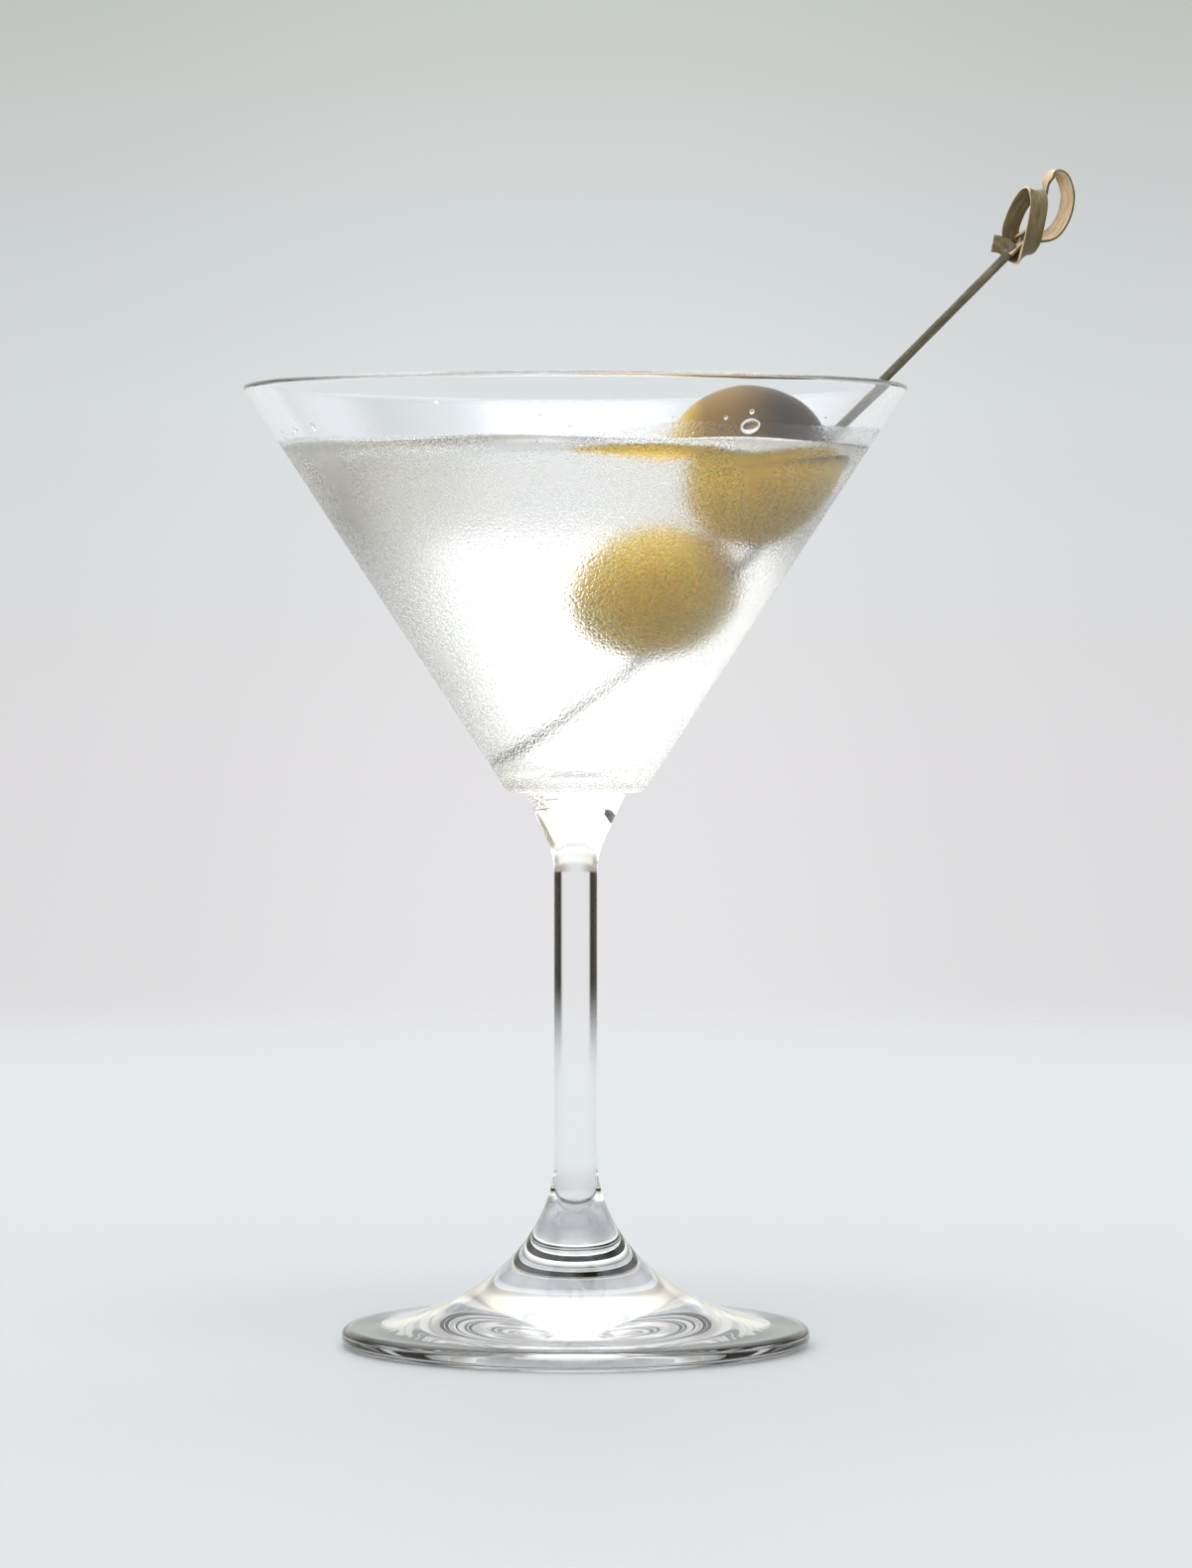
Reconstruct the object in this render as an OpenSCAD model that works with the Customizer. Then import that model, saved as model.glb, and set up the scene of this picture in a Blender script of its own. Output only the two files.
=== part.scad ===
// Martini cocktail: a long-stemmed cone glass, its drink, and two olives on a knotted bamboo pick.
// Millimetres, +Z up. The origin is the centre of the foot's underside, on the table.

/* [Bowl] */
// Height of the glass, from the table to the top of the rim
glass_h = 170; // [140:1:210]
// Outer diameter of the rim
rim_d = 117.2; // [96:0.1:130]
// Diameter to which the bowl's cone would taper at the ledge, were the corner sharp
bowl_base_d = 24; // [22:0.5:30]
// Thickness of the bowl's wall
wall = 1.3; // [1:0.05:2]
// Height of the bowl, from the ledge under it to the top of the rim
bowl_h = 72; // [60:1:86]
// Thickness of glass under the bowl's inside floor
floor_t = 4; // [3:0.5:6]
// Radius of the inside corner between the floor and the cone
floor_fillet = 7; // [5:0.1:8.4]
// Radius of the outside corner between the ledge and the cone
ledge_fillet = 2.5; // [1.5:0.1:3]

/* [Stem] */
// Diameter of the stem
stem_d = 7.7; // [6:0.1:9]
// Diameter of the stem's neck where it meets the ledge
neck_d = 18; // [14:0.5:20]
// Height of the neck's taper
neck_h = 11; // [8:0.5:16]

/* [Foot] */
// Diameter of the foot
foot_d = 83; // [70:1:95]
// Height of the foot's upright edge
foot_edge_h = 3.5; // [3:0.1:5]
// Radius of the rounding on the foot's edge, above and below
foot_round = 1.4; // [1:0.1:1.5]
// Height at which the foot's flare has become the stem
flare_h = 32; // [24:1:40]
// Exponent of the flare's curve: lower is more hollow
flare_power = 0.59; // [0.5:0.01:0.75]
// Width of the flat ring that the foot rests on
rest_ring_w = 6; // [4:0.5:10]
// Depth of the hollow under the foot
punt_h = 1.6; // [1:0.1:2]

/* [Drink] */
// Depth of the drink's level below the rim
level_below_rim = 12.5; // [10:0.5:16]
// Clearance between the drink and the glass
drink_gap = 0.15; // [0.1:0.05:0.3]
// Clearance between the drink and what stands in it
garnish_gap = 0.15; // [0.1:0.05:0.3]

/* [Olives] */
// Length of the lower olive
lower_olive_l = 26; // [22:0.5:28]
// Diameter of the lower olive
lower_olive_d = 24; // [20:0.5:25]
// Length of the upper olive
upper_olive_l = 29; // [24:0.1:35]
// Diameter of the upper olive
upper_olive_d = 25; // [20:0.5:26]
// Slope of the upper olive's long axis, in degrees
upper_olive_tilt = 11; // [0:1:30]
// How deep the pick passes under the olives' lower side, which keeps it clear of the stones
skewer_depth = 4.5; // [3:0.1:6]
// Clearance between the upper olive and the bowl's wall
wall_gap = 1.3; // [0.5:0.1:3]
// Clearance between the two olives
olive_gap = 0.2; // [0.1:0.1:1]

/* [Pick] */
// Diameter of the pick's shaft
pick_d = 1.55; // [1.2:0.05:2]
// Length of the pick's shaft, from its point to the knot
shaft_l = 129.5; // [110:0.5:145]
// Length of the sharpened point
point_l = 6; // [3:0.5:10]
// Direction in which the pick leans, seen from above
pick_azimuth = -19; // [-60:1:60]
// How far round the floor's corner the pick's point stands, in degrees from the floor
tip_angle = 36; // [0:1:50]
// Clearance between the pick and the glass
pick_gap = 0.1; // [0.05:0.05:0.2]
// Clearance between the pick and the olives it runs through
skewer_fit = 0.05; // [0.02:0.01:0.1]
// Width of the flat strip that is tied into the knot
strip_w = 2.6; // [2:0.1:3]
// Thickness of the strip
strip_t = 0.6; // [0.4:0.1:0.8]

/* [Hidden] */

// Steps of each rounded corner, of the foot's flare, of the punt and of an olive's outline
ARC_STEPS = 6;
FLARE_STEPS = 24;
PUNT_STEPS = 8;
OLIVE_STEPS = 20;
// Steps between two knots of the tied strip's route
STRIP_STEPS = 5;
$fn = 96;

pick_r = pick_d / 2;
stem_r = stem_d / 2;
neck_r = neck_d / 2;
foot_r = foot_d / 2;
ledge_z = glass_h - bowl_h;
floor_z = ledge_z + floor_t;
level_z = glass_h - level_below_rim;
rest_r = foot_r - foot_round;
punt_r = rest_r - rest_ring_w;

// The rim is half a circle across the wall, and this is the circle's middle
rim_mid = [rim_d / 2 - wall / 2, glass_h - wall / 2];

// The bowl's outer line runs from its base past the rim's half circle, at this angle from the axis
bowl_line = rim_mid - [bowl_base_d / 2, ledge_z];
cone_angle = atan2(bowl_line[0], bowl_line[1]) + asin(wall / 2 / norm(bowl_line));

// Radius of the bowl's cone at height z, measured inset below its outer surface
function cone_r(z, inset) =
    rim_mid[0] + (z - rim_mid[1]) * tan(cone_angle) + (wall / 2 - inset) / cos(cone_angle);

// Points of an arc from angle a0 to a1 about mid
function arc(mid, r, a0, a1, steps) =
    [for (i = [0:steps]) mid + r * [cos(a0 + (a1 - a0) * i / steps), sin(a0 + (a1 - a0) * i / steps)]];

// Middle of a corner of radius r that touches the level z and the cone at this inset
function corner_mid(z, r, inset) = [cone_r(z + r, inset) - r / cos(cone_angle), z + r];

// The bowl's inside floor and its corner, drawn from the axis outwards, clear of the glass by gap
function floor_line(gap) = concat(
    [[0, floor_z + gap]],
    arc(corner_mid(floor_z, floor_fillet, wall), floor_fillet - gap, -90, -cone_angle, ARC_STEPS));

// The foot's flare: a hollow superellipse from the edge up to the stem
function flare_point(t) = [
    stem_r + (foot_r - foot_round - stem_r) * pow(cos(t), 2 / flare_power),
    foot_edge_h + (flare_h - foot_edge_h) * pow(sin(t), 2 / flare_power)];

function reversed(list) = [for (i = [len(list) - 1:-1:0]) list[i]];

// The hollow under the foot, drawn from the axis outwards
punt_ball_r = (punt_r * punt_r + punt_h * punt_h) / (2 * punt_h);
punt_half_angle = asin(punt_r / punt_ball_r);

glass_outline = concat(
    arc([0, punt_h - punt_ball_r], punt_ball_r, 90, 90 - punt_half_angle, PUNT_STEPS),
    arc([rest_r, foot_round], foot_round, -90, 0, ARC_STEPS),
    arc([rest_r, foot_edge_h - foot_round], foot_round, 0, 90, ARC_STEPS),
    [for (i = [1:FLARE_STEPS - 1]) flare_point(90 * i / FLARE_STEPS)],
    [[stem_r, flare_h], [stem_r, ledge_z - neck_h], [neck_r, ledge_z]],
    arc(corner_mid(ledge_z, ledge_fillet, 0), ledge_fillet, -90, -cone_angle, ARC_STEPS),
    arc(rim_mid, wall / 2, -cone_angle, 180 - cone_angle, 2 * ARC_STEPS),
    reversed(floor_line(0)));

drink_outline = concat(
    floor_line(drink_gap),
    [[cone_r(level_z, wall + drink_gap), level_z], [0, level_z]]);

// The pick stands on the floor's corner and leans on the rim, in one upright plane through the axis.
// Its axis starts above the corner's arc and passes the rim's middle by the two radii and the clearance.
corner = corner_mid(floor_z, floor_fillet, wall);
tip_reach = corner[0] + (floor_fillet - pick_gap) * sin(tip_angle);
tip_z = corner[1] - (floor_fillet - pick_gap) * cos(tip_angle);
tip_to_rim = rim_mid - [-tip_reach, tip_z];
lean = atan2(tip_to_rim[1], tip_to_rim[0]) + asin((wall / 2 + pick_r + pick_gap) / norm(tip_to_rim));

// Distance from an olive's middle to its surface's tangent plane, at this angle from its long axis
function olive_reach(l, d, angle) = norm([l / 2 * cos(angle), d / 2 * sin(angle)]);

// How far the olives' middles lie above the pick
lower_olive_above = lower_olive_d / 2 - skewer_depth;
upper_olive_above = upper_olive_d / 2 - skewer_depth;

// Distance to the bowl's wall from a place in the pick's plane, at this distance along and above the pick
function to_wall(along, above) =
    let (r = -tip_reach + along * cos(lean) - above * sin(lean))
    let (z = tip_z + along * sin(lean) + above * cos(lean))
    (cone_r(z, wall) - r) * cos(cone_angle);

// The upper olive is slid along the pick until it nearly meets the wall, and the lower one follows it
wall_left = to_wall(0, upper_olive_above) - wall_gap
    - olive_reach(upper_olive_l, upper_olive_d, upper_olive_tilt + cone_angle);
upper_olive_at = wall_left / (to_wall(0, 0) - to_wall(1, 0));
lower_olive_at = upper_olive_at - olive_gap - lower_olive_l / 2
    - olive_reach(upper_olive_l, upper_olive_d, lean - upper_olive_tilt);

// Turns and moves children from the pick's own frame, +X along the shaft from its point
module on_pick(along = 0, above = 0) {
    rotate([0, 0, pick_azimuth])
        translate([-tip_reach, 0, tip_z])
            rotate([0, -lean, 0])
                translate([along, 0, above])
                    children();
}

// An olive, grown by grow: half its outline turned round, with its length along X
module olive_body(l, d, grow = 0) {
    rotate([0, 90, 0])
        rotate_extrude()
            polygon([for (i = [0:OLIVE_STEPS])
                let (a = -90 + 180 * i / OLIVE_STEPS)
                [(d / 2 + grow) * cos(a), (l / 2 + grow) * sin(a)]]);
}

module lower_olive_shape(grow = 0) {
    on_pick(lower_olive_at, lower_olive_above)
        olive_body(lower_olive_l, lower_olive_d, grow);
}

module upper_olive_shape(grow = 0) {
    on_pick(upper_olive_at, upper_olive_above)
        rotate([0, lean - upper_olive_tilt, 0])
            olive_body(upper_olive_l, upper_olive_d, grow);
}

module shaft(grow = 0) {
    on_pick()
        rotate([0, 90, 0])
            rotate_extrude()
                polygon([[0, -grow], [pick_r + grow, point_l], [pick_r + grow, shaft_l], [0, shaft_l]]);
}

module glass() {
    color([0.86, 0.90, 0.90, 0.4])
        rotate_extrude()
            polygon(glass_outline);
}

module drink() {
    color([0.90, 0.90, 0.87, 0.6])
        difference() {
            rotate_extrude()
                polygon(drink_outline);
            lower_olive_shape(garnish_gap);
            upper_olive_shape(garnish_gap);
            shaft(garnish_gap);
        }
}

module olive_lower() {
    color([0.71, 0.60, 0.33])
        difference() {
            lower_olive_shape();
            shaft(skewer_fit);
        }
}

module olive_upper() {
    color([0.71, 0.58, 0.35])
        difference() {
            upper_olive_shape();
            shaft(skewer_fit);
        }
}

// Route of the tied strip from the shaft's end, in an upright frame: [place, direction across the strip].
// It runs round the open loop, down behind, up and over the shut loop, and round the shaft to its tail.
OPEN_LOOP = [
    [[-1.4, 0, -1.4], [-0.3, 0.9, 0.3]],
    [[1.2, 0.4, 0.4], [-0.2, 1, 0.1]],
    [[3.8, 0.8, 1.2], [-0.2, 0.9, 0.4]],
    [[6.4, 0.6, 2.3], [-0.5, 0.7, 0.5]],
    [[8.2, 0.4, 5], [-0.7, 0.7, 0.2]],
    [[8.9, 0.3, 8.5], [-0.7, 0.7, 0]],
    [[8.2, 0.4, 11.5], [-0.6, 0.8, -0.2]],
    [[6.7, 0.6, 12.7], [-0.5, 0.9, 0.1]],
    [[5.2, 1, 11.3], [-0.3, 1, 0.2]],
    [[5, 1.4, 8.8], [0, 1, 0]],
    [[4.5, 1.9, 6], [0, 1, 0]],
    [[2.6, 2.6, 3], [0.3, 0.9, -0.3]]];
SHUT_LOOP = [
    [[2.6, 2.6, 3], [0.3, 0.9, -0.3]],
    [[0.4, 3, 0.6], [0.8, 0.3, -0.5]],
    [[-0.9, 2, 2.4], [0.9, 0.3, -0.2]],
    [[0, 0.8, 5.8], [0.9, 0.3, -0.3]],
    [[1.7, -0.6, 8.6], [0.8, 0.3, -0.6]],
    [[3.2, -1.9, 9.2], [0.9, 0.3, 0]],
    [[3.7, -2.9, 7.2], [1, 0, 0]],
    [[3.2, -3, 3.8], [1, 0, 0.1]],
    [[2.4, -2.3, 0.4], [0.9, 0, 0.4]],
    [[1, -0.4, -1.8], [0.8, 0, 0.6]],
    [[-0.8, 1.4, -1], [0.7, 0, 0.7]],
    [[-2.2, 1.9, 0.2], [0.3, 0.1, 0.9]],
    [[-4, 1.9, 0.6], [0, 0.1, 1]]];

// A point on the smooth curve through the route's places or directions k, between stations i and i + 1
function spline(route, k, i, t) =
    let (a = route[max(i - 1, 0)][k], b = route[i][k])
    let (c = route[i + 1][k], d = route[min(i + 2, len(route) - 1)][k])
    (2 * b + (c - a) * t + (2 * a - 5 * b + 4 * c - d) * t * t + (3 * b - a - 3 * c + d) * t * t * t) / 2;

function unit(v) = v / norm(v);

// The strip's places and directions at every step of a route
function stations(route, k) = [
    for (i = [0:len(route) - 2])
        for (j = [0:STRIP_STEPS - (i < len(route) - 2 ? 1 : 0)])
            spline(route, k, i, j / STRIP_STEPS)];

// The four corners of the strip at a place: across it by its width, and through it by its thickness
function strip_ring(place, ahead, across) =
    let (through = unit(cross(ahead, across)))
    let (side = unit(cross(through, ahead)))
    [for (c = [[-1, -1], [1, -1], [1, 1], [-1, 1]])
        place + side * c[0] * strip_w / 2 + through * c[1] * strip_t / 2];

module strip(route) {
    places = stations(route, 0);
    across = stations(route, 1);
    last = len(places) - 1;
    rings = [for (i = [0:last])
        strip_ring(places[i], unit(places[min(i + 1, last)] - places[max(i - 1, 0)]), across[i])];
    lower_halves = [for (i = [0:last - 1]) for (j = [0:3])
        [4 * i + j, 4 * (i + 1) + (j + 1) % 4, 4 * i + (j + 1) % 4]];
    upper_halves = [for (i = [0:last - 1]) for (j = [0:3])
        [4 * i + j, 4 * (i + 1) + j, 4 * (i + 1) + (j + 1) % 4]];
    polyhedron(
        points = [for (ring = rings) each ring],
        faces = concat([[0, 1, 2, 3]], lower_halves, upper_halves, [[for (j = [3:-1:0]) 4 * last + j]]));
}

module pick() {
    knot_run = -tip_reach + shaft_l * cos(lean);
    color([0.53, 0.47, 0.35])
        union() {
            shaft();
            translate([knot_run * cos(pick_azimuth), knot_run * sin(pick_azimuth), tip_z + shaft_l * sin(lean)]) {
                strip(OPEN_LOOP);
                strip(SHUT_LOOP);
            }
        }
}

glass();
drink();
olive_lower();
olive_upper();
pick();
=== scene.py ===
"""A martini cocktail's finish: misted cone glass, clear drink, two olives and a knotted bamboo pick."""

import math
import random

import bmesh
import bpy
from mathutils import Matrix, Vector, noise


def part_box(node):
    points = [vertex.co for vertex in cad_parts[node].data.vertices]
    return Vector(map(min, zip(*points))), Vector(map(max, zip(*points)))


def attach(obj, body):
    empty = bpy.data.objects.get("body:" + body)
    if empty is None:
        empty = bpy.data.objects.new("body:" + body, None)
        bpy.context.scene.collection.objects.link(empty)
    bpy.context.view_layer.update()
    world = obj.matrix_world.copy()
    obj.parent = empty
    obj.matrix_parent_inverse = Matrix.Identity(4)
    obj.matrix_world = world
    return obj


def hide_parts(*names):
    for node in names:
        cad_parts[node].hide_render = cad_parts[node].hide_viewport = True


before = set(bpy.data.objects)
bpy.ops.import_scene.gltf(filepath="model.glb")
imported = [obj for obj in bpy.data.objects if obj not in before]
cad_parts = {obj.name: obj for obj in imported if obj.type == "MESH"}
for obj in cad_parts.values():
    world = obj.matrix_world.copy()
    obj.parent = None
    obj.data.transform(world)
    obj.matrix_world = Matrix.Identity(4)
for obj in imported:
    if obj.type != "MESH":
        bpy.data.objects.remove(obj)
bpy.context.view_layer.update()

MM = 0.001
BODY = "root"

# ---------------------------------------------------------------- sizes, from the frame and as in the part

_, glass_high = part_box("glass")
_, drink_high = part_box("drink")
pick_low, pick_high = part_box("pick")

GLASS_H = glass_high[2]
RIM_R = glass_high[0]
LEVEL = drink_high[2]
WALL = 1.3 * MM
BOWL_H = 72 * MM
BOWL_BASE_R = 12 * MM
FLOOR_T = 4 * MM
FLOOR_FILLET = 7 * MM
LEDGE_FILLET = 2.5 * MM
STEM_R = 3.85 * MM
NECK_R = 9 * MM
NECK_H = 11 * MM
NECK_BLEND = 14 * MM
JOINT_BLEND = 0.4 * MM
FOOT_R = 41.5 * MM
FOOT_EDGE_H = 3.5 * MM
FOOT_ROUND = 1.4 * MM
FLARE_H = 32 * MM
FLARE_POWER = 0.59
REST_RING_W = 6 * MM
PUNT_H = 1.6 * MM

PICK_R = 0.775 * MM
PICK_GAP = 0.1 * MM
PICK_AZIMUTH = math.radians(-19)
SHAFT_L = 129.5 * MM
POINT_L = 6 * MM
# The tied strip, a little wider and thinner than the part's plain one
STRIP_W = 3.0 * MM
STRIP_T = 0.5 * MM
STRIP_CUP = 0.12 * MM
STRIP_EDGE = 0.09 * MM
STRIP_STEPS = 90

LOWER_OLIVE_L = 26 * MM
LOWER_OLIVE_D = 24 * MM
UPPER_OLIVE_L = 29 * MM
UPPER_OLIVE_D = 25 * MM
UPPER_OLIVE_TILT = math.radians(11)

LEDGE_Z = GLASS_H - BOWL_H
FLOOR_Z = LEDGE_Z + FLOOR_T
RIM_MID = Vector((RIM_R - WALL / 2, GLASS_H - WALL / 2))
BOWL_LINE = RIM_MID - Vector((BOWL_BASE_R, LEDGE_Z))
CONE = math.atan2(BOWL_LINE.x, BOWL_LINE.y) + math.asin(WALL / 2 / BOWL_LINE.length)


def cone_r(z, inset):
    """Radius of the bowl's cone at height z, this far inside its outer surface."""
    return RIM_MID.x + (z - RIM_MID.y) * math.tan(CONE) + (WALL / 2 - inset) / math.cos(CONE)


def cone_point(z, inset):
    """A point of the cone in half section."""
    return Vector((cone_r(z, inset), z))


def corner_mid(z, radius, inset):
    """Middle of a corner that touches the level z and the cone at this inset."""
    return Vector((cone_r(z + radius, inset) - radius / math.cos(CONE), z + radius))


def arc(mid, radius, start, end, steps):
    """Points of an arc about mid, between two angles in radians."""
    angles = [start + (end - start) * i / steps for i in range(steps + 1)]
    return [mid + radius * Vector((math.cos(a), math.sin(a))) for a in angles]


def rounded(before, bend, after, radius, steps):
    """Points of the arc that rounds a bend between two straight lines."""
    back, on = (before - bend).normalized(), (after - bend).normalized()
    half = back.angle(on) / 2
    mid = bend + (back + on).normalized() * (radius / math.sin(half))
    first, last = (bend + way * (radius / math.tan(half)) - mid for way in (back, on))
    sweep = first.angle_signed(last)
    start = math.atan2(first.y, first.x)
    return arc(mid, radius, start, start - sweep, steps)


def run(start, end, inner=4, hold=0.3 * MM):
    """Points between two ends of a straight line, close to its ends and evenly between them."""
    along = (end - start).normalized()
    near, far = start + along * hold, end - along * hold
    return [near.lerp(far, i / (inner + 1)) for i in range(inner + 2)]


# ---------------------------------------------------------------- mesh helpers

def finish_mesh(bm, name, materials, sharp=None):
    """A bmesh becomes a smooth object at the origin with these materials."""
    mesh = bpy.data.meshes.new(name)
    for face in bm.faces:
        face.smooth = True
    bm.to_mesh(mesh)
    bm.free()
    for look in materials:
        mesh.materials.append(look)
    if sharp is not None:
        mesh.set_sharp_from_angle(angle=sharp)
    piece = bpy.data.objects.new(name, mesh)
    bpy.context.scene.collection.objects.link(piece)
    return piece


def lathe(outline, steps):
    """A closed solid of revolution about Z from an outline that starts and ends on the axis."""
    bm = bmesh.new()
    verts = [bm.verts.new((p.x, 0, p.y)) for p in outline]
    edges = [bm.edges.new(pair) for pair in zip(verts, verts[1:])]
    bmesh.ops.spin(
        bm, geom=verts + edges, cent=(0, 0, 0), axis=(0, 0, 1), angle=math.tau, steps=steps, use_merge=True)
    bmesh.ops.remove_doubles(bm, verts=bm.verts, dist=1e-7)
    bmesh.ops.dissolve_degenerate(bm, dist=1e-8, edges=bm.edges)
    bmesh.ops.recalc_face_normals(bm, faces=bm.faces)
    return bm


# ---------------------------------------------------------------- shader helpers

class Value:
    """An output of a shader node. Arithmetic on it adds Math nodes."""

    def __init__(self, shader, socket):
        self.shader = shader
        self.socket = socket

    def math(self, operation, *values):
        """A Math node's result on these values."""
        return self.shader.node("ShaderNodeMath", {"operation": operation}, dict(enumerate(values)))

    def __add__(self, other):
        return self.math("ADD", self, other)

    def __radd__(self, other):
        return self.math("ADD", other, self)

    def __sub__(self, other):
        return self.math("SUBTRACT", self, other)

    def __rsub__(self, other):
        return self.math("SUBTRACT", other, self)

    def __mul__(self, other):
        return self.math("MULTIPLY", self, other)

    def __rmul__(self, other):
        return self.math("MULTIPLY", other, self)

    def __truediv__(self, other):
        return self.math("DIVIDE", self, other)

    def __rtruediv__(self, other):
        return self.math("DIVIDE", other, self)

    def __pow__(self, other):
        return self.math("POWER", self, other)

    def at_least(self, other):
        """The larger of two values."""
        return self.math("MAXIMUM", self, other)

    def smooth_step(self, start, end):
        """0 below start and 1 above end, with an even passage between them."""
        settings = {"interpolation_type": "SMOOTHSTEP"}
        return self.shader.node("ShaderNodeMapRange", settings, {0: self, 1: start, 2: end})


class Shader:
    """The node tree of one material, or of the world."""

    def __init__(self, owner):
        owner.use_nodes = True
        self.tree = owner.node_tree
        self.tree.nodes.clear()

    def node(self, kind, settings=None, inputs=None, out=0):
        """Adds a node: its settings first, then the values or links of its sockets."""
        made = self.tree.nodes.new(kind)
        for key, value in (settings or {}).items():
            if key == "stops":
                self.set_stops(made.color_ramp, value)
            else:
                setattr(made, key, value)
        for key, value in (inputs or {}).items():
            if isinstance(value, Value):
                self.tree.links.new(value.socket, made.inputs[key])
            else:
                made.inputs[key].default_value = value
        return Value(self, made.outputs[out]) if made.outputs else made

    @staticmethod
    def set_stops(ramp, stops):
        """Gives a colour ramp these stops, each a place from 0 to 1 and a colour."""
        ramp.elements.remove(ramp.elements[-1])
        ramp.elements[0].position = stops[0][0]
        ramp.elements[0].color = solid(stops[0][1])
        for place, colour in stops[1:]:
            ramp.elements.new(place).color = solid(colour)

    def place(self):
        """Where a point lies on the object, in metres."""
        return self.node("ShaderNodeTexCoord", out=3)

    def axes(self, vector):
        """The three numbers of a vector."""
        parts = self.node("ShaderNodeSeparateXYZ", None, {0: vector}).socket.node
        return [Value(self, socket) for socket in parts.outputs]

    def noise(self, where, scale, detail=3.0, roughness=0.5):
        """Soft noise from 0 to 1, with this many waves to a unit of place."""
        inputs = {"Vector": where, "Scale": scale, "Detail": detail, "Roughness": roughness}
        return self.node("ShaderNodeTexNoise", None, inputs)

    def stretched(self, where, scale):
        """A place with each axis multiplied by its own number."""
        return self.node("ShaderNodeMapping", {"vector_type": "POINT"}, {"Vector": where, "Scale": scale})

    def ramp(self, factor, stops):
        """A colour that passes through these stops as the factor goes from 0 to 1."""
        return self.node("ShaderNodeValToRGB", {"stops": stops}, {0: factor})

    def mix_colour(self, factor, low, high):
        """One colour at factor 0 and the other at 1."""
        return self.node("ShaderNodeMix", {"data_type": "RGBA"}, {0: factor, 6: low, 7: high}, out=2)

    def bump(self, height, distance):
        """A normal for relief this deep where height goes from 0 to 1."""
        return self.node("ShaderNodeBump", None, {"Height": height, "Distance": distance, "Strength": 1.0})

    def surface(self, **inputs):
        """Ends the tree in a Principled shader with these socket values or links."""
        named = {key.replace("_", " "): value for key, value in inputs.items()}
        shade = self.node("ShaderNodeBsdfPrincipled", None, named)
        self.node("ShaderNodeOutputMaterial", None, {0: shade})


def material(name):
    """A new material's shader."""
    return Shader(bpy.data.materials.new(name))


def owner_of(shader):
    """The material that a shader's tree belongs to."""
    return next(m for m in bpy.data.materials if m.node_tree == shader.tree)


def rgb(red, green, blue):
    """A colour given as it looks on screen, from 0 to 255."""
    def linear(part):
        part = part / 255
        return part / 12.92 if part <= 0.04045 else ((part + 0.055) / 1.055) ** 2.4

    return (linear(red), linear(green), linear(blue))


def solid(colour):
    """A colour with full alpha, as a socket takes it."""
    return (*colour, 1)


# ---------------------------------------------------------------- materials

GLASS_IOR = 1.5
DRINK_IOR = 1.355
MIST_TOP = LEVEL + 2.6 * MM
MIST_CLIMB = 1.9 * MM
MIST_WAVER = 1.2 * MM
MIST_EDGE = 0.5 * MM
MIST_DEEPENS = 22 * MM
MIST_RELIEF = 0.065 * MM
# Layers of beads in the mist: the size of a cell and the share of it that a bead fills
MIST_BEADS = ((0.8 * MM, 0.44), (0.44 * MM, 0.5))


def clear_glass():
    """Polished colourless glass."""
    shader = material("clear_glass")
    place = shader.place()
    shimmer = shader.noise(place, 45, 2)
    shader.surface(
        Base_Color=shader.mix_colour(shimmer, solid((0.975, 0.985, 1)), solid((0.985, 0.99, 1))),
        Roughness=0.0, IOR=GLASS_IOR, Transmission_Weight=1.0)
    return owner_of(shader)


def misted_glass():
    """The outside of the bowl: clear above the drink, beaded with fine mist where the drink chills it."""
    shader = material("misted_glass")
    place = shader.place()
    x, _, height = shader.axes(place)
    waver = (shader.noise(place, 90, 4) - 0.5) * MIST_WAVER
    top = x.smooth_step(0, 18 * MM) * MIST_CLIMB + MIST_TOP + waver
    mist = (top - height).smooth_step(0, MIST_EDGE)
    layers = []
    for size, share in MIST_BEADS:
        cells = {"Vector": place, "Scale": 1 / size, "Randomness": 1.0}
        away = shader.node("ShaderNodeTexVoronoi", {"feature": "F1"}, cells) / share
        dome = (1 - away * away).at_least(0.0) ** 0.5
        layers.append(dome * (size / MIST_BEADS[0][0]))
    beads = layers[0].at_least(layers[1])
    deepened = ((LEVEL - height) / MIST_DEEPENS).smooth_step(0, 1) * 0.78 + 0.22
    relief = beads * mist * deepened
    haze = shader.noise(place, 60, 3) * 0.3 + 0.02
    # Painted shade: the rims of the beads are darkened in the glass's colour, where light bends away from
    # them
    bead_edge_shade = relief.smooth_step(0, 0.5) * (1 - relief.smooth_step(0.5, 0.9)) * 0.1
    shader.surface(
        Base_Color=shader.mix_colour(bead_edge_shade, solid((0.99, 0.995, 1)), solid((0.72, 0.73, 0.72))),
        Roughness=mist * ((1 - beads) * haze + 0.12), IOR=GLASS_IOR, Transmission_Weight=1.0,
        Normal=shader.bump(relief, MIST_RELIEF))
    return owner_of(shader)


def clear_drink():
    """The drink: clear with the faintest straw tint."""
    shader = material("clear_drink")
    place = shader.place()
    cloud = shader.noise(place, 60, 2)
    shader.surface(
        Base_Color=shader.mix_colour(cloud, solid((0.975, 0.965, 0.93)), solid((0.985, 0.975, 0.945))),
        Roughness=0.0, IOR=DRINK_IOR, Transmission_Weight=1.0)
    return owner_of(shader)


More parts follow.
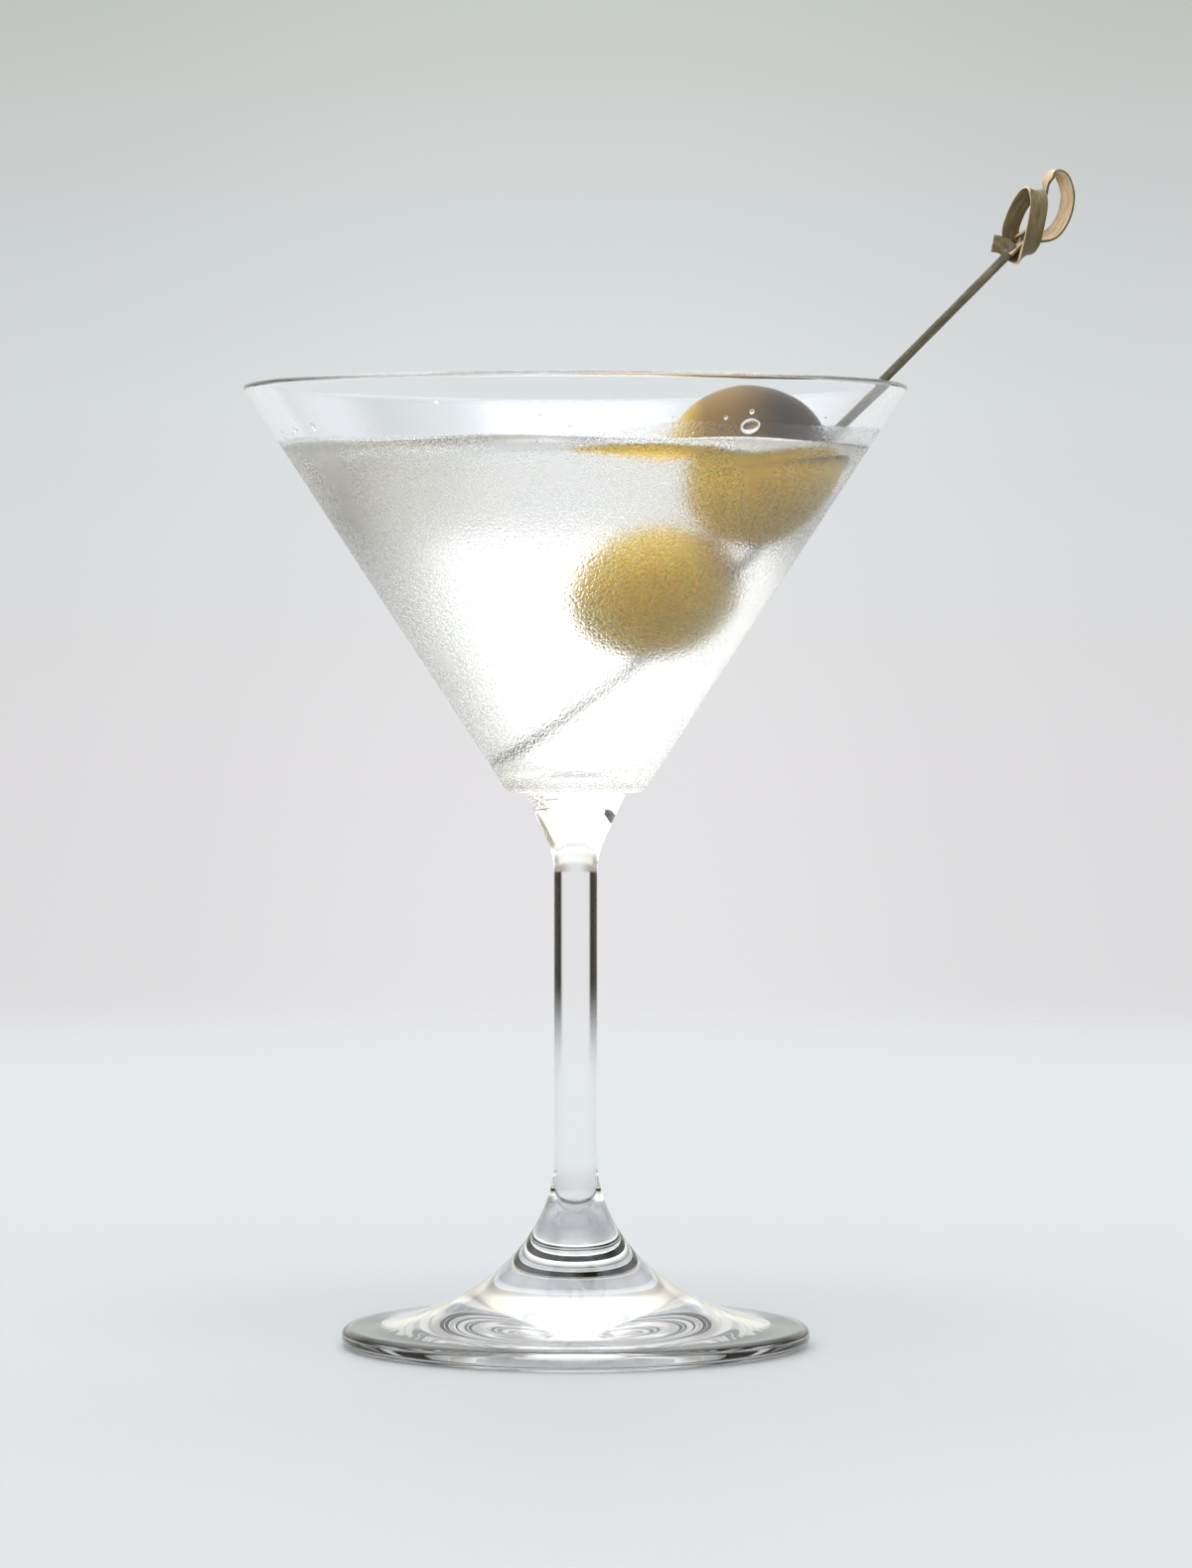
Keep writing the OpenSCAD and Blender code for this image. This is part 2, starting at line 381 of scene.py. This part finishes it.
def olive_skin():
    """Brined green olive: golden, with faint streaks and pale specks; where it stands above the drink, shade
    is painted on in a dull tone that darkens to near black on its right side.
    """
    shader = material("olive_skin")
    place = shader.place()
    cloud = shader.noise(place, 110, 4, 0.6)
    streak = shader.noise(shader.stretched(place, (500, 120, 120)), 1, 3)
    specks = shader.node("ShaderNodeTexVoronoi", {"feature": "F1"}, {"Vector": place, "Scale": 900.0})
    dots = 1 - specks.smooth_step(0.08, 0.2)
    tone = cloud * 0.7 + streak * 0.3
    golds = [(0.3, rgb(222, 182, 50)), (0.5, rgb(238, 202, 70)), (0.7, rgb(246, 218, 104))]
    flesh = shader.ramp(tone, golds)
    colour = shader.mix_colour(dots * 0.35, flesh, solid(rgb(222, 196, 130)))
    x, _, z = shader.axes(place)
    # Painted shade: above the drink the olive is painted dark, less so on its left, and near black towards
    # its right side
    over = (z + cloud * (3 * MM)).smooth_step(LEVEL, LEVEL + 4 * MM)
    shade_above_drink = over * ((x + cloud * (6 * MM)).smooth_step(20 * MM, 26 * MM) * 0.6 + 0.4)
    shade_far_side = x.smooth_step(24 * MM, 37 * MM)
    painted_shade_tone = shader.mix_colour(shade_far_side, solid(rgb(118, 92, 46)), solid(rgb(40, 31, 19)))
    colour = shader.mix_colour(shade_above_drink, colour, painted_shade_tone)
    relief = cloud * 0.8 + dots * 0.3
    shader.surface(
        Base_Color=colour, Roughness=streak * 0.12 + 0.24, IOR=1.4, Specular_IOR_Level=0.04,
        Subsurface_Weight=0.7, Subsurface_Radius=(1.0, 0.62, 0.2), Subsurface_Scale=5 * MM,
        Normal=shader.bump(relief, 0.12 * MM))
    return owner_of(shader)


def bamboo(name, dark, mid, light, roughness):
    """Bamboo with fibres along the piece's own length, which its UV map gives in millimetres."""
    shader = material(name)
    mapped = shader.node("ShaderNodeUVMap", {"uv_map": "along"})
    fibres = shader.noise(shader.stretched(mapped, (0.25, 9, 1)), 1, 4, 0.65)
    bands = shader.noise(shader.stretched(mapped, (0.35, 1.2, 1)), 1, 2)
    tone = fibres * 0.55 + bands * 0.45
    shader.surface(
        Base_Color=shader.ramp(tone, [(0.32, dark), (0.5, mid), (0.68, light)]),
        Roughness=fibres * 0.2 + roughness, IOR=1.45,
        Normal=shader.bump(fibres, 0.08 * MM))
    return owner_of(shader)


def water_drop():
    """Drops and bubbles: clear liquid beads."""
    shader = material("water_drop")
    place = shader.place()
    shimmer = shader.noise(place, 300, 1)
    shader.surface(
        Base_Color=shader.mix_colour(shimmer, solid((0.98, 0.985, 0.985)), solid((1, 1, 1))),
        Roughness=0.0, IOR=1.333, Transmission_Weight=1.0)
    return owner_of(shader)


# ---------------------------------------------------------------- glass

GLASS_STEPS = 288
# The corner under the bowl is misted from this far out
MIST_CORNER_R = NECK_R + 0.6 * MM


def flare_point(turn):
    """A point of the foot's hollow flare, from its edge at 0 to the stem at a quarter turn."""
    power = 2 / FLARE_POWER
    reach = (FOOT_R - FOOT_ROUND - STEM_R) * math.cos(turn) ** power
    rise = (FLARE_H - FOOT_EDGE_H) * math.sin(turn) ** power
    return Vector((STEM_R + reach, FOOT_EDGE_H + rise))


def floor_line(gap):
    """The bowl's inside floor and its corner, from the axis outwards, clear of the glass by gap."""
    mid = corner_mid(FLOOR_Z, FLOOR_FILLET, WALL)
    start = Vector((0, FLOOR_Z + gap))
    bend = arc(mid, FLOOR_FILLET - gap, -math.pi / 2, -CONE, 14)
    return [start] + run(start, bend[0], 3) + bend


def glass_outline():
    """The whole glass in half section: under the foot, up the stem, round the bowl and back to its floor."""
    rest_r = FOOT_R - FOOT_ROUND
    punt_r = rest_r - REST_RING_W
    ball_r = (punt_r ** 2 + PUNT_H ** 2) / (2 * PUNT_H)
    half = math.asin(punt_r / ball_r)
    quarter = math.pi / 2
    hollow = arc(Vector((0, PUNT_H - ball_r)), ball_r, quarter, quarter - half, 20)
    under = arc(Vector((rest_r, FOOT_ROUND)), FOOT_ROUND, -quarter, 0, 8)
    over = arc(Vector((rest_r, FOOT_EDGE_H - FOOT_ROUND)), FOOT_ROUND, 0, quarter, 8)
    flare = [flare_point(quarter * i / 48) for i in range(1, 48)]
    stem_low, stem_top = Vector((STEM_R, FLARE_H)), Vector((STEM_R, LEDGE_Z - NECK_H))
    neck_top = Vector((NECK_R, LEDGE_Z))
    ledge = arc(corner_mid(LEDGE_Z, LEDGE_FILLET, 0), LEDGE_FILLET, -quarter, -CONE, 10)
    neck = rounded(stem_low, stem_top, neck_top, NECK_BLEND, 10)
    joint = rounded(stem_top, neck_top, ledge[0], JOINT_BLEND, 6)
    rim = arc(RIM_MID, WALL / 2, -CONE, math.pi - CONE, 14)
    inside = list(reversed(floor_line(0)))
    return (
        hollow + run(hollow[-1], under[0], 1) + under + over + flare
        + [stem_low] + run(stem_low, neck[0], 6) + neck + run(neck[-1], joint[0], 2) + joint + ledge
        + run(ledge[-1], rim[0], 10) + rim + run(rim[-1], inside[0], 10) + inside)


def make_glass():
    """The glass: its outline turned, with the outside of its cone given to the mist."""
    bm = lathe(glass_outline(), GLASS_STEPS)
    for face in bm.faces:
        mid = face.calc_center_median()
        r = math.hypot(mid.x, mid.y)
        outside = LEDGE_Z < mid.z < GLASS_H - WALL and abs(r - cone_r(mid.z, 0)) < WALL / 3
        corner = LEDGE_Z <= mid.z < LEDGE_Z + LEDGE_FILLET and r > MIST_CORNER_R
        face.material_index = 1 if outside or corner else 0
    looks = [clear_glass(), misted_glass()]
    piece = finish_mesh(bm, "glass_bowl_stem_foot", looks, sharp=math.radians(35))
    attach(piece, BODY)
    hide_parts("glass")


# ---------------------------------------------------------------- pick and olives

pick_tip = Vector((pick_low[0], pick_high[1], pick_low[2]))
tip_reach = math.hypot(pick_tip.x, pick_tip.y)
to_rim = RIM_MID - Vector((-tip_reach, pick_tip.z))
LEAN = math.atan2(to_rim.y, to_rim.x) + math.asin((WALL / 2 + PICK_R + PICK_GAP) / to_rim.length)


def rising(tilt):
    """The direction in the pick's upright plane that rises at this tilt."""
    level = math.cos(tilt)
    return Vector((level * math.cos(PICK_AZIMUTH), level * math.sin(PICK_AZIMUTH), math.sin(tilt)))


pick_along = rising(LEAN)


def middle(node):
    """The middle of a node's box."""
    low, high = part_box(node)
    return (Vector(low) + Vector(high)) / 2


CROSSING_STEPS = 4000
# The skin lies just inside the part's olive and is uneven: a share of its size, and waves to a radius
SKIN_SHRINK = 0.992
SKIN_WAVES, WAVES_SCALE = 0.02, 1.3
SKIN_RIPPLES, RIPPLES_SCALE = 0.006, 4
# A dimple at one end and a tip at the other: share of the half length, and reach along it
DIMPLE, DIMPLE_W = 0.05, 0.012
TIP, TIP_W = 0.012, 0.006
# The skin sinks at a pick hole and swells in a lip round it: height, width and place in pick radii
HOLE_SINK, HOLE_W = 0.55, 1.7
LIP_SWELL, LIP_R, LIP_W = 0.12, 3, 1.2


def hump(away, width):
    """A smooth hump: 1 in its middle, fading over this width."""
    return math.exp(-(away / width) ** 2)


class Olive:
    """An olive's place, half length, radius and the direction of its long axis."""

    def __init__(self, node, length, diameter, tilt, seed):
        self.node = node
        self.mid = middle(node)
        self.half = length / 2
        self.radius = diameter / 2
        self.axis = rising(tilt)
        self.seed = seed

    def depth(self, point):
        """How far a point lies outside the skin, in radii: 0 on the skin."""
        away = point - self.mid
        along = away.dot(self.axis)
        across = (away - self.axis * along).length
        return math.hypot(along / self.half, across / self.radius) - 1

    def crossings(self):
        """Where the pick enters and leaves the skin."""
        found = []
        was = self.depth(pick_tip)
        for i in range(1, CROSSING_STEPS + 1):
            point = pick_tip + pick_along * (SHAFT_L * i / CROSSING_STEPS)
            now = self.depth(point)
            if (was > 0) != (now > 0):
                found.append(point)
            was = now
        return found


lower_olive = Olive("olive_lower", LOWER_OLIVE_L, LOWER_OLIVE_D, LEAN, 3)
upper_olive = Olive("olive_upper", UPPER_OLIVE_L, UPPER_OLIVE_D, UPPER_OLIVE_TILT, 8)


def make_olive(olive, name, skin):
    """An olive: a ball drawn out along its axis, made uneven, with a stem dimple and puckered pick holes."""
    bm = bmesh.new()
    bmesh.ops.create_uvsphere(bm, u_segments=128, v_segments=80, radius=1.0)
    holes = olive.crossings()
    turn = Vector((0, 0, 1)).rotation_difference(olive.axis).to_matrix()
    for vert in bm.verts:
        unit = vert.co.copy()
        shape = 1 + SKIN_WAVES * noise.noise(unit * WAVES_SCALE + Vector((olive.seed, 0, 0)))
        shape += SKIN_RIPPLES * noise.noise(unit * RIPPLES_SCALE + Vector((0, olive.seed, 0)))
        dimple = hump(1 - unit.z, DIMPLE_W) * DIMPLE
        tip = hump(1 + unit.z, TIP_W) * TIP
        drawn = olive.half * (1 - dimple + tip)
        body = Vector((unit.x * olive.radius, unit.y * olive.radius, unit.z * drawn))
        point = olive.mid + turn @ (body * shape * SKIN_SHRINK)
        for hole in holes:
            away = (point - hole).length / PICK_R
            pull = HOLE_SINK * hump(away, HOLE_W) - LIP_SWELL * hump(away - LIP_R, LIP_W)
            point -= (point - olive.mid).normalized() * pull * PICK_R
        vert.co = point
    bmesh.ops.recalc_face_normals(bm, faces=bm.faces)
    piece = finish_mesh(bm, name, [skin])
    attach(piece, BODY)
    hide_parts(olive.node)


# Route of the tied strip from the shaft's end, in millimetres: place, then direction across the strip
OPEN_LOOP = [
    ((-1.4, 0, -1.4), (-0.3, 0.9, 0.3)),
    ((1.2, 0.4, 0.4), (-0.2, 1, 0.1)),
    ((3.8, 0.8, 1.2), (-0.2, 0.9, 0.4)),
    ((6.4, 0.6, 2.3), (-0.5, 0.7, 0.5)),
    ((8.2, 0.4, 5), (-0.7, 0.7, 0.2)),
    ((8.9, 0.3, 8.5), (-0.7, 0.7, 0)),
    ((8.2, 0.4, 11.5), (-0.6, 0.8, -0.2)),
    ((6.7, 0.6, 12.7), (-0.5, 0.9, 0.1)),
    ((5.2, 1, 11.3), (-0.3, 1, 0.2)),
    ((5, 1.4, 8.8), (0, 1, 0)),
    ((4.5, 1.9, 6), (0, 1, 0)),
    ((2.6, 2.6, 3), (0.3, 0.9, -0.3))]
SHUT_LOOP = [
    ((2.6, 2.6, 3), (0.3, 0.9, -0.3)),
    ((0.4, 3, 0.6), (0.8, 0.3, -0.5)),
    ((-0.9, 2, 2.4), (0.9, 0.3, -0.2)),
    ((0, 0.8, 5.8), (0.9, 0.3, -0.3)),
    ((1.7, -0.6, 8.6), (0.8, 0.3, -0.6)),
    ((3.2, -1.9, 9.2), (0.9, 0.3, 0)),
    ((3.7, -2.9, 7.2), (1, 0, 0)),
    ((3.2, -3, 3.8), (1, 0, 0.1)),
    ((2.4, -2.3, 0.4), (0.9, 0, 0.4)),
    ((1, -0.4, -1.8), (0.8, 0, 0.6)),
    ((-0.8, 1.4, -1), (0.7, 0, 0.7)),
    ((-2.2, 1.9, 0.2), (0.3, 0.1, 0.9)),
    ((-4, 1.9, 0.6), (0, 0.1, 1))]


def spline(points, t):
    """The smooth curve through points, at t from 0 to 1."""
    spans = len(points) - 1
    i = min(int(t * spans), spans - 1)
    t = t * spans - i
    a, b = points[max(i - 1, 0)], points[i]
    c, d = points[i + 1], points[min(i + 2, spans)]
    return (2 * b + (c - a) * t + (2 * a - 5 * b + 4 * c - d) * t * t + (3 * b - a - 3 * c + d) * t ** 3) / 2


def lay_along(bm, place_at, length):
    """Writes each vertex's distance along and round a piece to the UV map, in millimetres."""
    layer = bm.loops.layers.uv.new("along")
    for face in bm.faces:
        for loop in face.loops:
            along, across = place_at(loop.vert)
            loop[layer].uv = (along * length / MM, across)


def make_strip(route, name, materials):
    """One run of the tied strip: a flat grid bent along its route, then given its thickness."""
    places = [Vector(p) * MM for p, _ in route]
    across = [Vector(a) for _, a in route]
    start = pick_tip + pick_along * SHAFT_L
    bm = bmesh.new()
    bmesh.ops.create_grid(bm, x_segments=STRIP_STEPS, y_segments=6, size=0.5)
    length = sum((b - a).length for a, b in zip(places, places[1:]))
    lay_along(bm, lambda v: (v.co.x + 0.5, v.co.y * STRIP_W / MM), length)
    small = 0.5 / STRIP_STEPS
    for vert in bm.verts:
        t, side = vert.co.x + 0.5, vert.co.y * 2
        here = spline(places, t)
        ahead = (spline(places, min(t + small, 1)) - spline(places, max(t - small, 0))).normalized()
        through = ahead.cross(spline(across, t)).normalized()
        out = through.cross(ahead).normalized()
        cup = STRIP_CUP * side * side
        vert.co = start + here + out * side * STRIP_W / 2 + through * cup
    bmesh.ops.recalc_face_normals(bm, faces=bm.faces)
    piece = finish_mesh(bm, name, materials)
    thick = piece.modifiers.new("thickness", "SOLIDIFY")
    thick.thickness = STRIP_T
    thick.offset = 0
    thick.material_offset_rim = 1
    soften = piece.modifiers.new("edges", "BEVEL")
    soften.width = STRIP_EDGE
    soften.segments = 2
    soften.limit_method = "ANGLE"
    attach(piece, BODY)


SHAFT_RINGS = 80
# Rings crowd towards the point, which starts this blunt, and the rod is a little wavy
RING_CROWDING = 1.35
POINT_BLUNT = 0.06
POINT_POWER = 0.8
ROD_WAVES = 0.02


def make_shaft(skin):
    """The pick's shaft: a thin rod along X, sharpened at its start, then turned into its place."""
    bm = bmesh.new()
    bmesh.ops.create_circle(bm, cap_ends=False, radius=1.0, segments=24)
    for vert in bm.verts:
        vert.co = Vector((0, vert.co.x, vert.co.y))
    geometry = list(bm.edges)
    for _ in range(SHAFT_RINGS):
        grown = bmesh.ops.extrude_edge_only(bm, edges=geometry)["geom"]
        moved = [v for v in grown if isinstance(v, bmesh.types.BMVert)]
        bmesh.ops.translate(bm, verts=moved, vec=(1 / SHAFT_RINGS, 0, 0))
        geometry = [e for e in grown if isinstance(e, bmesh.types.BMEdge)]
    bmesh.ops.holes_fill(bm, edges=[e for e in bm.edges if e.is_boundary], sides=0)
    lay_along(bm, lambda v: (v.co.x, math.atan2(v.co.y, v.co.z) * PICK_R / MM), SHAFT_L)
    for vert in bm.verts:
        t = vert.co.x ** RING_CROWDING
        along = t * SHAFT_L
        drawn_in = min(1, POINT_BLUNT + (1 - POINT_BLUNT) * (along / POINT_L) ** POINT_POWER)
        width = PICK_R * drawn_in * (1 + ROD_WAVES * math.sin(along * 700))
        vert.co = Vector((along, vert.co.y * width, vert.co.z * width))
    turn = Vector((1, 0, 0)).rotation_difference(pick_along).to_matrix().to_4x4()
    bmesh.ops.transform(bm, matrix=Matrix.Translation(pick_tip) @ turn, verts=bm.verts)
    bmesh.ops.recalc_face_normals(bm, faces=bm.faces)
    piece = finish_mesh(bm, "pick_shaft", [skin], sharp=math.radians(50))
    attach(piece, BODY)
    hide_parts("pick")


# ---------------------------------------------------------------- drink

DRINK_STEPS = 384
WALL_REACH = 0.2 * MM
WALL_RISE = 2.0 * MM
OLIVE_RISE = 2.0 * MM
PICK_RISE = 0.9 * MM
CURL = 1.1 * MM
WALL_PULL = 6 * MM
TOP_RINGS = 120


def curl(away):
    """How much of its rise the surface keeps this far from what it clings to."""
    return math.exp(-(max(away, 0) / CURL) ** 0.7)


def clinging(x, y):
    """How far the drink stands above its level at a place, drawn up by the wall, olive and pick."""
    point = Vector((x, y, LEVEL))
    to_wall = cone_r(LEVEL, WALL) - math.hypot(x, y)
    to_olive = upper_olive.depth(point) * upper_olive.radius
    at_pick = pick_tip + pick_along * ((LEVEL - pick_tip.z) / pick_along.z)
    to_pick = (point - at_pick).length - PICK_R
    waver = 1 + 0.25 * noise.noise(Vector((x, y, 0)) * 40)
    rise = WALL_RISE * waver * curl(to_wall)
    return max(rise, OLIVE_RISE * curl(to_olive), PICK_RISE * curl(to_pick))


def drink_outline():
    """The drink in half section with a level top, reaching a little into the wall and floor."""
    floor = floor_line(-WALL_REACH)
    edge = cone_point(LEVEL, WALL - WALL_REACH)
    inner_r = cone_r(LEVEL, WALL)
    top = [Vector((inner_r * (1 - (i / TOP_RINGS) ** 1.6), LEVEL)) for i in range(TOP_RINGS + 1)]
    return floor + run(floor[-1], edge, 10) + [edge] + top


def make_drink():
    """The drink's outline turned, then its top drawn up the wall, the olive and the pick."""
    bm = lathe(drink_outline(), DRINK_STEPS)
    for vert in bm.verts:
        x, y, z = vert.co
        if abs(z - LEVEL) < 1e-7:
            rise = clinging(x, y)
            r = max(math.hypot(x, y), 1e-6)
            near = max(0, 1 - (cone_r(LEVEL, WALL) - r) / WALL_PULL)
            grown = 1 + rise * near * math.tan(CONE) / r
            vert.co = Vector((x * grown, y * grown, z + rise))
    bmesh.ops.recalc_face_normals(bm, faces=bm.faces)
    piece = finish_mesh(bm, "drink_body", [clear_drink()])
    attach(piece, BODY)
    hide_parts("drink")


# ---------------------------------------------------------------- drops

DROP_SINK = 0.04 * MM
FRONT = math.radians(-90)
# A bubble and larger drops: radians round from the front, then height over the drink, width, height, depth
LARGE_DROPS = [
    (0.60, 4.0, 3.8, 3.0, 1.1),
    (0.585, 6.4, 0.95, 0.95, 0.4),
    (-1.16, 4.3, 1.5, 1.1, 0.5),
    (-1.02, 4.5, 1.1, 1.6, 0.5),
    (-0.44, 8.0, 1.3, 1.0, 0.45)]
SMALL_DROPS = 34


def add_drop(bm, azimuth, z, width, height, thick):
    """One flat-backed drop on the inside of the bowl's wall, its domed side away from the glass."""
    ahead = Vector((math.cos(azimuth), math.sin(azimuth), 0))
    facing = Vector((0, 0, math.sin(CONE))) - ahead * math.cos(CONE)
    up = ahead * math.sin(CONE) + Vector((0, 0, math.cos(CONE)))
    side = up.cross(facing)
    place = ahead * cone_r(z, WALL) + Vector((0, 0, z)) - facing * DROP_SINK
    turn = Matrix((side, up, facing)).transposed()
    size = Matrix.Diagonal((width / 2, height / 2, thick))
    spot = Matrix.Translation(place) @ (turn @ size).to_4x4()
    made = bmesh.ops.create_uvsphere(bm, u_segments=20, v_segments=12, radius=1.0, matrix=spot)["verts"]
    for vert in made:
        depth = (vert.co - place).dot(facing)
        if depth < 0:
            vert.co -= facing * depth


def make_drops():
    """A bubble and splashed drops, large and small, that cling inside the glass above the drink."""
    bm = bmesh.new()
    for azimuth, rise, width, height, thick in LARGE_DROPS:
        add_drop(bm, FRONT + azimuth, LEVEL + rise * MM, width * MM, height * MM, thick * MM)
    chance = random.Random(4)
    for _ in range(SMALL_DROPS):
        wide = chance.uniform(0.3, 0.8) * MM
        azimuth = chance.uniform(0, math.tau)
        rise = chance.uniform(2.6, 6) * MM
        add_drop(bm, azimuth, LEVEL + rise, wide, wide, wide * 0.35)
    bmesh.ops.recalc_face_normals(bm, faces=bm.faces)
    piece = finish_mesh(bm, "drops_inside", [water_drop()])
    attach(piece, BODY)


# ---------------------------------------------------------------- stage, light and camera

TABLE_R = 1.15
TABLE_FADE = (0.6, 1.12)


def make_table():
    """A round pale table that fades into the backdrop."""
    bm = bmesh.new()
    bmesh.ops.create_circle(bm, cap_ends=True, radius=TABLE_R, segments=96)
    shader = material("table_top")
    place = shader.place()
    x, y, _ = shader.axes(place)
    far = (x * x + y * y) ** 0.5
    fade = far.smooth_step(*TABLE_FADE)
    grain = shader.noise(place, 900, 2)
    inputs = {
        "Base Color": shader.mix_colour(grain, solid((0.375, 0.385, 0.39)), solid((0.39, 0.40, 0.405))),
        "Roughness": 0.5, "Specular IOR Level": 0.2}
    top = shader.node("ShaderNodeBsdfPrincipled", None, inputs)
    gone = shader.node("ShaderNodeBsdfTransparent")
    both = shader.node("ShaderNodeMixShader", None, {0: fade, 1: top, 2: gone})
    shader.node("ShaderNodeOutputMaterial", None, {0: both})
    finish_mesh(bm, "table", [owner_of(shader)])


def between(value, low, high, soft):
    """1 where a value lies between two limits, fading over soft at each."""
    return value.smooth_step(low - soft, low + soft) * (1 - value.smooth_step(high - soft, high + soft))


# The backdrop's colour by height, from low to high
BACKDROP = [
    (0.0, rgb(229, 231, 232)), (0.12, rgb(229, 228, 230)), (0.24, rgb(229, 227, 229)),
    (0.41, rgb(222, 226, 227)), (0.51, rgb(211, 215, 215)), (0.6, rgb(201, 205, 200)),
    (1.0, rgb(192, 196, 192))]
WARM_FLAG = solid((0.80, 0.73, 0.60))
COOL_LIGHT = solid((0.80, 0.81, 0.825))


def make_light():
    """Soft studio light by direction, in degrees up and round from straight behind the glass."""
    world = bpy.data.worlds.new("studio")
    bpy.context.scene.world = world
    shader = Shader(world)
    x, y, z = shader.axes(shader.node("ShaderNodeTexCoord", out=0))
    degrees = 180 / math.pi
    height = z.math("ARCSINE", z) * degrees
    side = x.math("ARCTAN2", x, y) * degrees
    turned = side.math("ABSOLUTE", side)
    pale = shader.ramp(height * 0.05 + 0.3, BACKDROP)

    # Dark flags stand low beside the backdrop, and the walls grow lighter upwards
    below = (1 - height.smooth_step(-1.8, -0.4)) * (1 - turned.smooth_step(98, 112))
    behind = 1 - turned.smooth_step(4, 31) * (1 - below) - turned.smooth_step(25, 34) * below
    wide = turned.smooth_step(62, 80) * 0.5
    wall = ((height.smooth_step(7, 28) * 0.4).at_least(wide) + 0.52) * (1 - below * 0.97)

    # Bright panels behind, low and above, a dark flag on the right, and fill from the front
    panel = between(side, -90, 54, 26) * between(height, 35, 66, 12)
    low = between(side, -38, 38, 8) * between(height, 6, 22, 3)
    above = height.smooth_step(51, 66)
    shade = between(side, 70, 132, 12) * between(height, 20, 51, 5)
    front = turned.smooth_step(105, 135) * height.smooth_step(5, 25)
    lit = wall + behind * (1 - wall) + panel * 2.3 + above * 1.5 + low * 0.8
    strength = lit * (1 - shade * 0.82) * (1 + front * 1.5)

    warm = (1 - behind) * (1 - height.smooth_step(6, 20))
    tint = shader.mix_colour(warm, pale, WARM_FLAG)
    tint = shader.mix_colour(height.smooth_step(12, 26), tint, COOL_LIGHT)
    seen = shader.node("ShaderNodeLightPath", out=0)
    plain = 1 - turned.smooth_step(0.5, 6) * 0.08
    inputs = {
        "Color": shader.mix_colour(seen, tint, pale),
        "Strength": seen * plain + (1 - seen) * strength}
    glow = shader.node("ShaderNodeBackground", None, inputs)
    shader.node("ShaderNodeOutputWorld", None, {0: glow})


CAMERA_AWAY = 1.055
CAMERA_H = 0.126
PITCH = math.radians(-1.44)
YAW = math.radians(-0.196)
LENS = 136.9
SENSOR = 36
LIGHT_BOUNCES = 48


def make_camera():
    """A long lens just under the drink's level, aimed slightly down."""
    data = bpy.data.cameras.new("camera")
    data.lens = LENS
    data.sensor_width = SENSOR
    data.clip_start = 0.05
    camera = bpy.data.objects.new("camera", data)
    camera.location = (0, -CAMERA_AWAY, CAMERA_H)
    camera.rotation_euler = (math.pi / 2 + PITCH, 0, YAW)
    bpy.context.scene.collection.objects.link(camera)
    bpy.context.scene.camera = camera


# ---------------------------------------------------------------- build

make_glass()
make_drink()
make_drops()

flesh = olive_skin()
make_olive(lower_olive, "olive_in_drink", flesh)
make_olive(upper_olive, "olive_at_surface", flesh)

rod = bamboo("bamboo_rod", rgb(60, 54, 42), rgb(88, 79, 62), rgb(128, 116, 92), 0.35)
outer = bamboo("bamboo_skin", rgb(62, 54, 32), rgb(94, 82, 50), rgb(124, 112, 76), 0.3)
inner = bamboo("bamboo_inside", rgb(168, 142, 108), rgb(200, 176, 142), rgb(226, 208, 178), 0.5)
make_shaft(rod)
make_strip(OPEN_LOOP, "pick_open_loop", [inner, outer])
make_strip(SHUT_LOOP, "pick_shut_loop", [outer, inner])

make_table()
make_light()
make_camera()

scene = bpy.context.scene
scene.view_settings.view_transform = "Standard"
scene.cycles.max_bounces = LIGHT_BOUNCES
scene.cycles.transmission_bounces = LIGHT_BOUNCES
scene.cycles.glossy_bounces = LIGHT_BOUNCES
scene.cycles.transparent_max_bounces = 16
